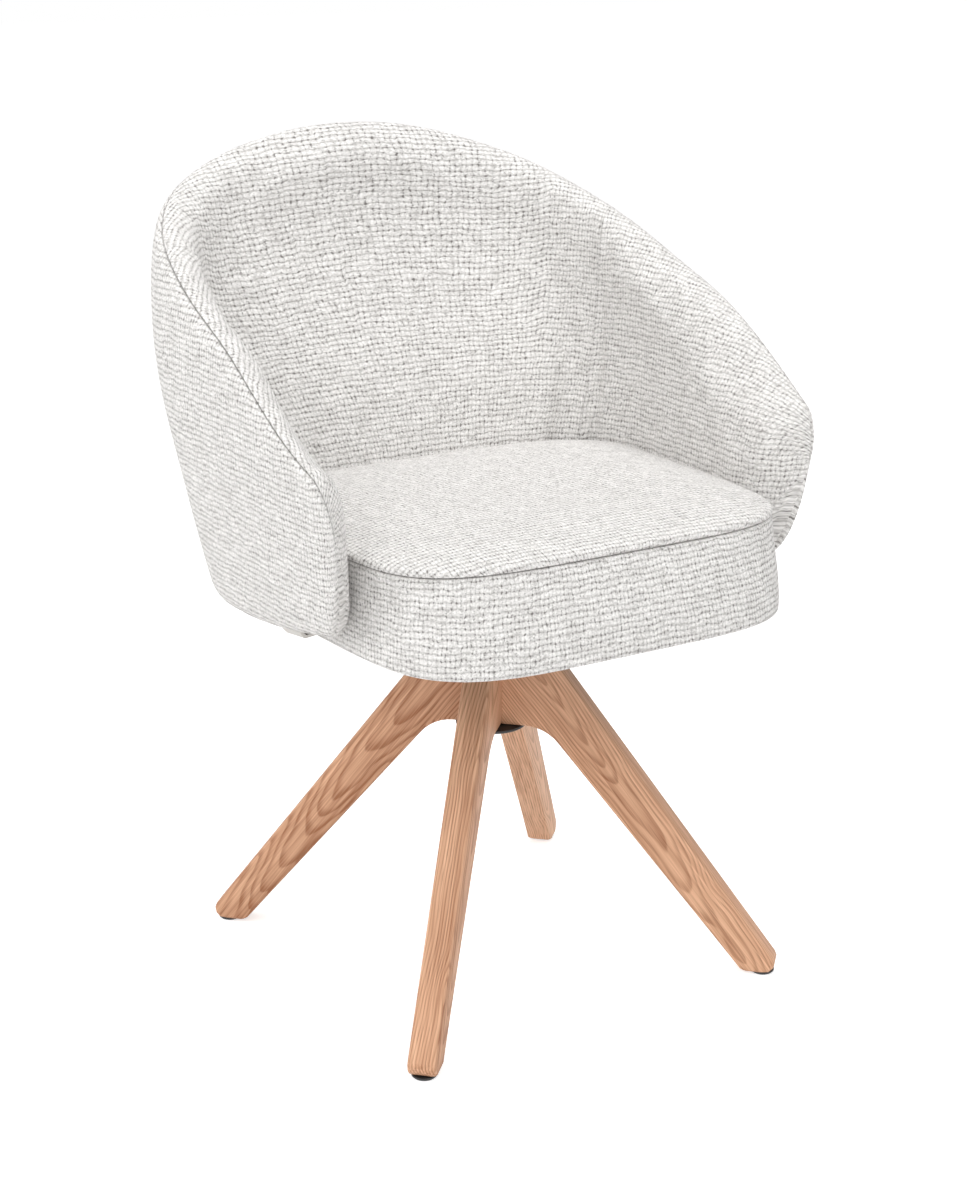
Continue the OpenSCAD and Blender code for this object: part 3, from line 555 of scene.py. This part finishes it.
def woven(name, light=(245, 243, 241), dark=(140, 136, 132)):
    t = Tree(name)
    at = t.add("ShaderNodeAttribute", attribute_name="weave")
    u, v, seam = t.split(at.outputs["Vector"])
    flat = t.vector(u, v)
    wander = t.split(t.noise(flat, 45, 1, colour=True))
    jitter = t.split(t.noise(flat, 210, 1, colour=True))

    def moved(axis, i, slow, fast):
        shift = t.math("MULTIPLY_ADD", wander[i], slow, t.math("MULTIPLY_ADD", jitter[i], fast, -(slow + fast) / 2))
        return t.math("ADD", axis, shift)

    across = t.math("DIVIDE", moved(u, 0, 0.0060, 0.0026), LOOP_PITCH)
    up = t.math("DIVIDE", moved(v, 1, 0.0056, 0.0036), ROW_PITCH)
    loop = t.math("ABSOLUTE", t.math("SINE", t.math("MULTIPLY", across, math.pi)))
    row = t.math("ABSOLUTE", t.math("SINE", t.math("MULTIPLY", up, math.pi)))
    corner = t.add("ShaderNodeTexWhiteNoise", noise_dimensions="2D")
    t.put(corner.inputs["Vector"], t.vector(t.math("ROUND", across), t.math("ROUND", up)))
    chance, tint, _ = t.split(corner.outputs["Color"])
    bead = t.math("MULTIPLY", t.math("POWER", row, 0.7), t.math("MULTIPLY_ADD", t.math("POWER", loop, 0.7), 0.5, 0.5))
    gap = t.math("MULTIPLY", t.math("MULTIPLY_ADD", row, -0.85, 1.0), t.math("MULTIPLY_ADD", loop, -0.85, 1.0))
    speck = t.remap(t.math("MULTIPLY", gap, t.math("MULTIPLY_ADD", chance, 0.9, 0.25)), 0.36, 0.66, 0.0, 1.0, True)
    curl = t.math("ABSOLUTE", t.math("SUBTRACT", t.noise(flat, 330, 1, 0.5), 0.5))
    here = t.remap(t.noise(flat, 230, 1), 0.48, 0.56, 0.0, 1.0, True)
    curl = t.math("MULTIPLY", t.remap(curl, 0.045, 0.015, 0.0, 1.0, True), here)
    curl = t.math("MULTIPLY", curl, t.math("MULTIPLY_ADD", loop, -0.7, 1.0))
    speck = t.math("MAXIMUM", speck, curl)
    fine = t.noise(flat, 560, 1, 0.5)
    broad = t.noise(flat, 60, 2, 0.6)
    tone = t.math("MULTIPLY_ADD", fine, 0.95, t.math("MULTIPLY_ADD", broad, 0.36, -0.36))
    tone = t.math("MULTIPLY_ADD", bead, 0.50, tone)
    tone = t.math("MULTIPLY_ADD", tint, 0.14, tone, clamp=True)
    colour = t.mix(tone, grey(*dark), grey(*light))
    colour = t.mix(t.math("MULTIPLY", speck, 0.72), colour, grey(88, 84, 80))
    # Painted shade: the colour darkens within about 1.4 mm of the rim seam, standing in for the shade in the crease
    # between cover pieces
    seam_shade = t.remap(seam, 0.0003, 0.0014, 1.0, 0.0, True)
    colour = t.mix(t.math("MULTIPLY", seam_shade, 0.4), colour, grey(110, 106, 102))
    t.set(Base_Color=colour)
    t.shader.inputs["Roughness"].default_value = 0.92
    t.shader.inputs["Specular IOR Level"].default_value = 0.15
    t.shader.inputs["Sheen Weight"].default_value = 0.12
    t.shader.inputs["Sheen Roughness"].default_value = 0.5
    t.bump(t.math("SUBTRACT", bead, t.math("MULTIPLY", speck, 0.4)), 0.0009, 0.7)
    return t.material


def oak(name, turn, leg_tone_and_painted_light):
    """Plain-sawn oak with its grain along the leg that stands at this turn from +X, darker by this share, which is
    partly the board's own tone and partly painted light and shade.
    """
    t = Tree(name)
    where = t.add("ShaderNodeTexCoord").outputs["Object"]
    shift = t.add("ShaderNodeVectorMath", operation="ADD")
    t.put(shift.inputs[0], where)
    shift.inputs[1].default_value = (0, ORIGIN_SET / 1000, 0)
    c, e = math.cos(math.radians(turn)), math.sin(math.radians(turn))
    run = Vector((264 * c, 264 * e, -348)).normalized()
    thick = Vector((-e, c, 0))

    def along(axis):
        node = t.add("ShaderNodeVectorMath", operation="DOT_PRODUCT")
        t.put(node.inputs[0], shift.outputs[0])
        node.inputs[1].default_value = axis
        return node.outputs["Value"]

    x, y, z = along(run), along(thick), along(run.cross(thick))
    start = turn * 0.37

    def grain(kx, kyz, detail=2, roughness=0.5):
        return t.noise(t.vector(t.math("MULTIPLY_ADD", x, kx, start), t.math("MULTIPLY", y, kyz),
                                t.math("MULTIPLY", z, kyz)), 1.0, detail, roughness)

    slow = t.math("SUBTRACT", grain(7.0, 16.0), 0.5)
    slower = t.math("SUBTRACT", grain(3.5, 9.0, 1), 0.5)
    knots = t.add("ShaderNodeTexVoronoi")
    t.put(knots.inputs["Vector"], t.vector(t.math("MULTIPLY_ADD", x, 7.0, start * 3), t.math("MULTIPLY", y, 14.0),
                                           t.math("MULTIPLY", z, 16.0)))
    knots.inputs["Scale"].default_value = 1.0
    far = knots.outputs["Distance"]
    bulge = t.remap(far, 0.0, 0.30, 0.0050, 0.0, True)
    yy = t.math("ADD", t.math("MULTIPLY_ADD", slow, 0.013, 0.034), t.math("MULTIPLY", x, 0.06))
    yy = t.math("ADD", t.math("ADD", y, yy), bulge)
    zz = t.math("ADD", z, t.math("MULTIPLY_ADD", slower, 0.026, 0.006 - LEG_LINE))
    r = t.math("SQRT", t.math("ADD", t.math("MULTIPLY", yy, yy), t.math("MULTIPLY", zz, zz)))
    ring = t.math("FRACT", t.math("DIVIDE", r, RING_PITCH))
    line = t.math("MULTIPLY", t.remap(ring, 0.30, 0.85, 0.0, 1.0, True), t.remap(ring, 1.0, 0.88, 0.0, 1.0, True))
    streak = grain(10.0, 480.0, 2, 0.6)
    fine = grain(26.0, 900.0, 1)
    broad = grain(2.4, 34.0)
    # The leg's tone offset, partly board tone and partly painted light and shade, shifts the whole leg lighter or
    # darker
    tone = t.math("MULTIPLY_ADD", streak, 1.45, t.math("MULTIPLY_ADD", broad, 0.65, leg_tone_and_painted_light - 0.90))
    tone = t.math("MULTIPLY_ADD", line, 0.36, tone)
    tone = t.math("MULTIPLY_ADD", fine, 0.22, tone, clamp=True)
    colour = t.mix(tone, grey(*OAK_LIGHT), grey(*OAK_DARK))
    pore = t.math("MULTIPLY", t.remap(fine, 0.47, 0.36, 0.0, 1.0), t.math("MULTIPLY_ADD", line, 0.75, 0.25))
    colour = t.mix(t.math("MULTIPLY", pore, 0.55), colour, grey(142, 98, 70))
    knot = t.remap(far, 0.018, 0.050, 1.0, 0.0, True)
    colour = t.mix(t.math("MULTIPLY", knot, 0.7), colour, grey(88, 58, 42))
    t.set(Base_Color=colour, Roughness=t.remap(streak, 0.3, 0.7, 0.48, 0.62), Specular_IOR_Level=0.3)
    height = t.math("MULTIPLY_ADD", streak, 0.3, t.math("MULTIPLY", pore, -0.7))
    t.bump(height, 0.0002, 0.4)
    return t.material


def plain(name, colour, roughness, metallic=0.0, stretch=(1, 1, 1)):
    """A moulded, painted or metal surface with fine mottling and wear."""
    t = Tree(name)
    where = t.add("ShaderNodeTexCoord").outputs["Object"]
    size = t.add("ShaderNodeVectorMath", operation="MULTIPLY")
    t.put(size.inputs[0], where)
    size.inputs[1].default_value = stretch
    fine = t.noise(size.outputs[0], 240.0, 3, 0.6)
    broad = t.noise(size.outputs[0], 240.0 / 14, 3, 0.55)
    tone = t.math("ADD", t.math("MULTIPLY", fine, 0.5), t.math("MULTIPLY", broad, 0.5))
    low = tuple(c * (1 - MOTTLE) for c in colour[:3]) + (1,)
    high = tuple(min(1, c * (1 + MOTTLE)) for c in colour[:3]) + (1,)
    t.set(Base_Color=t.mix(t.remap(tone, 0.3, 0.7), low, high))
    t.set(Roughness=t.remap(broad, 0.3, 0.7, roughness * 0.85, min(1, roughness * 1.15)))
    t.shader.inputs["Metallic"].default_value = metallic
    t.bump(fine, 0.0002, 0.4)
    return t.material


def plywood(name):
    t = Tree(name)
    where = t.add("ShaderNodeTexCoord").outputs["Object"]
    x, y, z = t.split(where)
    across = [t.math("MULTIPLY", axis, 160.0) for axis in (y, z)]
    grain = t.noise(t.vector(t.math("MULTIPLY", x, 9.0), *across), 1.0, 3)
    ply = t.math("FRACT", t.math("MULTIPLY", z, 1000 / 3.0))
    ply = t.remap(ply, 0.45, 0.55, 0.0, 1.0, True)
    tone = t.math("ADD", t.math("MULTIPLY", grain, 0.8), t.math("MULTIPLY", ply, 0.3))
    t.set(Base_Color=t.mix(t.remap(tone, 0.2, 1.0), grey(222, 196, 158), grey(176, 140, 100)), Roughness=0.65)
    t.bump(grain, 0.0003, 0.4)
    return t.material


def weave_cloth(name, colour, pitch):
    """A plain woven cloth on flat parts."""
    t = Tree(name)
    x, y, z = t.split(t.add("ShaderNodeTexCoord").outputs["Object"])
    a = t.math("ABSOLUTE", t.math("SINE", t.math("MULTIPLY", x, math.pi / pitch)))
    b = t.math("ABSOLUTE", t.math("SINE", t.math("MULTIPLY", y, math.pi / pitch)))
    fuzz = t.noise(t.vector(x, y, z), 900, 2)
    height = t.math("MULTIPLY", t.math("ADD", t.math("MULTIPLY", a, b), fuzz), 0.5)
    low = tuple(c * 0.6 for c in colour[:3]) + (1,)
    t.set(Base_Color=t.mix(height, low, colour), Roughness=0.95, Specular_IOR_Level=0.15)
    t.bump(height, 0.0004, 0.6)
    return t.material


def foam_material(name):
    t = Tree(name)
    where = t.add("ShaderNodeTexCoord").outputs["Object"]
    cells = t.add("ShaderNodeTexVoronoi")
    t.put(cells.inputs["Vector"], where)
    cells.inputs["Scale"].default_value = 700
    broad = t.noise(where, 30, 3)
    tone = t.math("ADD", t.math("MULTIPLY", cells.outputs["Distance"], 0.6), t.math("MULTIPLY", broad, 0.4))
    t.set(Base_Color=t.mix(tone, grey(240, 230, 200), grey(214, 196, 150)), Roughness=0.95, Specular_IOR_Level=0.1)
    t.bump(cells.outputs["Distance"], 0.0006, 0.5)
    return t.material


def paint(obj, material):
    obj.data.materials.clear()
    obj.data.materials.append(material)
    return obj


def soften(node, angle=32):
    """Smooth shading between facets that meet at a small angle, as a modifier."""
    group = bpy.data.node_groups.get("smooth_by_angle")
    if group is None:
        group = bpy.data.node_groups.new("smooth_by_angle", "GeometryNodeTree")
        group.interface.new_socket("Geometry", in_out="INPUT", socket_type="NodeSocketGeometry")
        group.interface.new_socket("Geometry", in_out="OUTPUT", socket_type="NodeSocketGeometry")
        n, l = group.nodes, group.links
        enter, leave = n.new("NodeGroupInput"), n.new("NodeGroupOutput")
        merge = n.new("GeometryNodeMergeByDistance")
        merge.inputs["Distance"].default_value = 1e-6
        faces = n.new("GeometryNodeSetShadeSmooth")
        faces.domain = "FACE"
        edges = n.new("GeometryNodeSetShadeSmooth")
        edges.domain = "EDGE"
        bend = n.new("GeometryNodeInputMeshEdgeAngle")
        less = n.new("FunctionNodeCompare")
        less.data_type = "FLOAT"
        less.operation = "LESS_THAN"
        less.inputs[1].default_value = math.radians(angle)
        l.new(enter.outputs[0], merge.inputs["Geometry"])
        l.new(merge.outputs[0], faces.inputs["Geometry"])
        l.new(faces.outputs[0], edges.inputs["Geometry"])
        l.new(bend.outputs["Unsigned Angle"], less.inputs[0])
        l.new(less.outputs[0], edges.inputs["Shade Smooth"])
        l.new(edges.outputs[0], leave.inputs[0])
    made = node.modifiers.new("Smooth", "NODES")
    made.node_group = group


# Upholstery
def shell_covers(cloth):
    side = side_stations()
    rows, n_front = panel_rows()
    whole = np.vstack([mirrored(side), back_stations(WING_ANGLE)[1:-1], side])
    outer, _ = shell_piece("cover_outer", whole, rows, n_front)
    paint(outer, cloth)
    finish_cover(outer, "seat", ["outer_panel"], 0)

    inset = COVER_INSET
    rows, n_front, drawn = pad_rows(inset)
    turn = JOIN_GAP / 2 * DEG_PER_MM
    back, free = shell_piece("cover_back", back_stations(WING_ANGLE - turn), rows, n_front, drawn, (0, -1))
    puff(back, free, PAD_SWELL, BACK_PRESSURE)
    paint(back, cloth)
    finish_cover(back, "seat", ["back_pad"])
    for sign, name, node in ((1, "cover_wing_left", "wing_pad_left"), (-1, "cover_wing_right", "wing_pad_right")):
        stations = side.copy()
        stations[0, 0] = WING_ANGLE + turn
        if sign < 0:
            stations = mirrored(stations)
        wing, free = shell_piece(name, stations, rows, n_front, drawn, (0 if sign > 0 else -1,))
        puff(wing, free, PAD_SWELL, WING_PRESSURE)
        paint(wing, cloth)
        finish_cover(wing, "seat", [node])


def seat_turns(n):
    """Plan angles with even spacing along the seat's edge."""
    psi = np.linspace(-180, 180, 2881)
    p = seat_pt(psi, SEAT_H + 0 * psi, 0)
    s = np.concatenate([[0], np.cumsum(np.linalg.norm(np.diff(p, axis=0), axis=1))])
    even = np.linspace(0, s[-1], n, endpoint=False)
    return np.roll(np.interp(even, s, psi), n // 2), s[-1]


def seat_band(psi, length, cloth):
    rows = [[0.12, 0.02], [0.04, 0.1], [0, 0.2], [0, 0.5], [0, 0.8], [0, 0.93], [0.01, 1]]
    size = np.array([BAND_T, BAND_H - 2 * FIT_GAP])
    face = dense(np.array(rows) * size, np.array([1, 1]), GRID)
    inset = BAND_INSET
    reach = np.linspace(0, 1, len(face))
    face[:, 0] += inset * np.sin(np.pi * reach) ** 0.7
    back = np.array([[1, 1], [1, 0.66], [1, 0.33], [1, 0], [0.5, 0]]) * size
    section = np.vstack([face, back])
    rings = seat_pt(psi[:, None], SEAT_Z0 + FIT_GAP + section[None, :, 1], section[None, :, 0])
    m, n, _ = rings.shape
    seam = np.full((m, n), FAR_FROM_SEAM)
    seam[:, :len(face)] = np.minimum(SEAT_H - rings[:, :len(face), 2], FAR_FROM_SEAM)
    u = np.repeat((np.arange(m) * length / m)[:, None], n, 1)
    weave = np.stack([u, rings[..., 2], 0 * seam + FAR_FROM_SEAM], -1).reshape(-1, 3)
    obj = outward(make_mesh("seat_cover_band", rings.reshape(-1, 3), loft_faces(m, n, loop=True), weave))
    free = np.zeros((m, n))
    free[:, 1:len(face) - 1] = 1
    free *= np.clip((seam - 1) / 8, 0, 1)
    puff(obj, free.ravel(), BAND_SWELL, BAND_PRESSURE)
    paint(obj, cloth)
    finish_cover(obj, "seat", ["seat_band"])


def seat_top(psi, length, cloth):
    drop = TOP_DROP
    edge = np.array([[0.01, 0], [0, 0.1], [0, 0.26], [0.16, 0.44], [0.6, 0.6], [1.6, 0.74]])
    edge = dense(edge * np.array([BAND_T, CROWN_H]), np.array([1, 1]), GRID * 0.6)
    rings = [seat_pt(psi, SEAT_H + 0 * psi, w) + np.array([0, 0, h]) for w, h in edge]
    mid = np.array([0, (outer_back(SEAT_H) - PAD_T - SEAT_REACH) / 2, SEAT_H])
    inner = rings[-1] - mid
    start_h = edge[-1, 1] / CROWN_H
    reach = np.mean(np.linalg.norm(inner[:, :2], axis=1))
    steps = int(reach / GRID)
    offsets = list(range(0, len(rings) * len(psi), len(psi)))
    counts = [len(psi)] * len(rings)
    rings_all = [r for r in rings]
    n = len(psi)
    pick = np.arange(n)
    for i in range(1, steps):
        k = 1 - i / steps
        if 2 * math.pi * reach * k / len(pick) < GRID * 0.6 and len(pick) > 24:
            pick = pick[::2]
        height = start_h + (1 - start_h) * (1 - k**2) ** 1.1
        ring = mid + inner[pick] * np.array([k, k, 0]) + np.array([0, 0, height * CROWN_H])
        ring[:, 2] -= drop * ease((1 - k) * 4)
        rings_all.append(ring)
        counts.append(len(pick))
    under = [seat_pt(psi, SEAT_H + 0 * psi, 0.6 * BAND_T), mid + (seat_pt(psi, SEAT_H + 0 * psi, 2 * BAND_T) - mid)]
    points = np.vstack(rings_all + under)
    starts = np.concatenate([[0], np.cumsum(counts)])
    faces = []
    for i in range(len(counts) - 1):
        a, b, na, nb = starts[i], starts[i + 1], counts[i], counts[i + 1]
        for j in range(nb):
            if na == nb:
                faces.append((a + j, a + (j + 1) % na, b + (j + 1) % nb, b + j))
            else:
                faces.append((a + 2 * j, a + (2 * j + 1) % na, b + j))
                faces.append((a + (2 * j + 1) % na, a + (2 * j + 2) % na, b + (j + 1) % nb, b + j))
    faces.append(tuple(int(starts[-2] + j) for j in range(counts[-1])))
    low = int(starts[-1])
    for j in range(n):
        k = (j + 1) % n
        faces.append((k, j, low + j, low + k))
        faces.append((low + k, low + j, low + n + j, low + n + k))
    faces.append(tuple(low + n + j for j in range(n)))
    faces = [tuple(int(x) for x in f) for f in faces]
    out = np.zeros(len(points))
    heights = edge[::-1, 1]
    run = np.concatenate([[0], np.cumsum(np.hypot(np.diff(edge[::-1, 0]), np.diff(edge[::-1, 1])))])
    extra = run - np.abs(edge[::-1, 0] - edge[-1, 0])
    n_edge = len(edge) * n
    out[:n_edge] = np.interp(points[:n_edge, 2] - SEAT_H, heights[::-1], extra[::-1])
    away = points[:, :2] - mid[:2]
    away /= np.maximum(np.linalg.norm(away, axis=1, keepdims=True), 1e-6)
    flat = points[:, :2] + away * out[:, None]
    seam = np.full(len(points), FAR_FROM_SEAM)
    seam[:n_edge] = np.repeat(np.concatenate([[0], np.cumsum(np.hypot(np.diff(edge[:, 0]), np.diff(edge[:, 1])))]), n)
    weave = np.stack([flat[:, 0], flat[:, 1], 0 * seam + FAR_FROM_SEAM], -1)
    obj = outward(make_mesh("seat_cover_top", points, faces, weave))
    free = np.ones(len(points))
    free[low:] = 0
    free *= np.clip((seam - 1) / 14, 0, 1)
    free[low:] = 0
    puff(obj, free, TOP_SWELL, TOP_PRESSURE)
    paint(obj, cloth)
    finish_cover(obj, "seat", ["seat_top"])


def foam_core(psi):
    z0, z1 = SEAT_Z0 + CLOTH_T + BOARD_T + FIT_GAP, SEAT_H - FIT_GAP
    rows = np.array([[14, 0], [4, 1], [0, 6], [0, 36], [0, 70], [4, 75], [14, 76.5]])
    rows = dense(rows, np.array([1, 1]), GRID * 2)
    rows[:, 1] *= (z1 - z0) / 76.5
    turn = psi[::3]
    rings = np.stack([seat_pt(turn, z0 + h + 0 * turn, BAND_T + FIT_GAP + w) for w, h in rows], 0)
    m, n, _ = rings.shape
    obj = outward(make_mesh("foam_core", rings.reshape(-1, 3), loft_faces(m, n)))
    paint(obj, foam_material("foam"))
    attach(obj, "seat")
    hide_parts("seat_foam")


def seat_covers(cloth):
    psi, length = seat_turns(320)
    seat_band(psi, length, cloth)
    seat_top(psi, length, cloth)
    foam_core(psi)


def dress_frame():
    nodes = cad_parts
    # Turn and tone of each leg; the tones are partly the boards' own difference and partly painted light and shade
    # for how light falls on each leg under the seat
    leg_turns_and_painted_tones = {"leg_front_left": (-45, 0), "leg_front_right": (-135, 0.04),
              "leg_rear_left": (45, -0.2), "leg_rear_right": (135, 0.24)}
    for name, (turn, leg_tone_and_painted_light) in leg_turns_and_painted_tones.items():
        paint(nodes[name], oak("oak_" + name, turn, leg_tone_and_painted_light))
        soften(nodes[name])
    black = plain("black_plastic", grey(34, 34, 36), 0.5)
    coat = plain("black_paint", grey(40, 40, 42), 0.38)
    zinc = plain("zinc", grey(196, 196, 190), 0.38, 1.0)
    steel = plain("steel", grey(178, 180, 184), 0.3, 1.0, stretch=(1, 1, 8))
    brass = plain("brass_cage", grey(206, 170, 96), 0.32, 1.0)
    nylon = plain("nylon", grey(232, 230, 220), 0.45)
    looks = {
        black: ["glide_front_left", "glide_front_right", "glide_rear_left", "glide_rear_right", "hub_disc"],
        coat: ["base_plate", "swivel_pan", "frame_tube", "hub_disc_screws"],
        plain("pale_paint", grey(206, 203, 198), 0.55): ["frame_straps"],
        zinc: ["leg_screws", "pan_bolts", "tee_nuts", "strap_screws"],
        steel: ["column", "race_lower", "race_upper", "bearing_balls", "spindle", "circlip"],
        brass: ["ball_cage"],
        nylon: ["bush_upper", "bush_lower"],
        plywood("plywood"): ["seat_board"],
        weave_cloth("black_cloth", grey(48, 47, 48), 0.0012): ["under_cloth"],
    }
    for material, names in looks.items():
        for name in names:
            paint(nodes[name], material)
            soften(nodes[name])


# Camera, floor and light
def camera():
    data = bpy.data.cameras.new("camera")
    data.lens = 68.812
    data.sensor_width = 36
    data.sensor_fit = "AUTO"
    data.shift_x = -0.012322
    data.clip_start = 0.05
    obj = bpy.data.objects.new("camera", data)
    SCENE.collection.objects.link(obj)
    forward = Vector((0.51696, 0.79954, -0.30575)).normalized()
    right = forward.cross(Vector((0, 0, 1))).normalized()
    up = right.cross(forward)
    turn = Matrix((right, up, -forward)).transposed().to_4x4()
    turn = turn @ Matrix.Rotation(0.0061858, 4, "Z")
    turn.translation = Vector((-1.207593, -1.907828, 1.103714))
    obj.matrix_world = turn
    SCENE.camera = obj


def stage():
    mesh = bpy.data.meshes.new("floor")
    r = 14.0
    mesh.from_pydata([(-r, -r, 0), (r, -r, 0), (r, r, 0), (-r, r, 0)], [], [(0, 1, 2, 3)])
    floor = bpy.data.objects.new("floor", mesh)
    SCENE.collection.objects.link(floor)
    t = Tree("floor")
    t.set(Base_Color=(0.85, 0.85, 0.85, 1), Roughness=1.0, Specular_IOR_Level=0.0)
    path = t.add("ShaderNodeLightPath")
    seen = t.math("MAXIMUM", path.outputs["Is Camera Ray"], path.outputs["Is Glossy Ray"])
    seen = t.math("MAXIMUM", seen, path.outputs["Is Transmission Ray"])
    t.put(t.shader.inputs["Emission Strength"], t.math("MULTIPLY", seen, 0.61))
    t.shader.inputs["Emission Color"].default_value = (1, 1, 1, 1)
    paint(floor, t.material)

    world = bpy.data.worlds.new("world")
    SCENE.world = world
    world.use_nodes = True
    n, l = world.node_tree.nodes, world.node_tree.links
    path = n.new("ShaderNodeLightPath")
    seen = n.new("ShaderNodeMath")
    seen.operation = "MAXIMUM"
    l.new(path.outputs["Is Camera Ray"], seen.inputs[0])
    l.new(path.outputs["Is Glossy Ray"], seen.inputs[1])
    strength = n.new("ShaderNodeMapRange")
    l.new(seen.outputs[0], strength.inputs["Value"])
    strength.inputs["To Min"].default_value = 0.47
    strength.inputs["To Max"].default_value = 1.0
    l.new(strength.outputs["Result"], n["Background"].inputs["Strength"])
    n["Background"].inputs["Color"].default_value = (1, 1, 1, 1)

    def lamp(name, place, size, power):
        data = bpy.data.lights.new(name, "AREA")
        data.size = size
        data.energy = power
        obj = bpy.data.objects.new(name, data)
        SCENE.collection.objects.link(obj)
        obj.location = place
        aim = Vector((0, 0, 0.45)) - Vector(place)
        obj.rotation_euler = aim.to_track_quat("-Z", "Y").to_euler()

    lamp("key", (-2.6, -1.2, 2.6), 1.8, 30)
    lamp("side", (-2.6, 1.2, 1.1), 1.6, 26)
    lamp("fill", (1.0, -2.8, 2.4), 2.2, 25)
    lamp("low", (-0.9, -2.4, 0.4), 1.2, 12)
    lamp("top", (0.2, 0.2, 3.2), 2.0, 47)


camera()
COVER = woven("loop_weave")
shell_covers(COVER)
seat_covers(COVER)
dress_frame()
stage()
SCENE.view_settings.view_transform = "Standard"
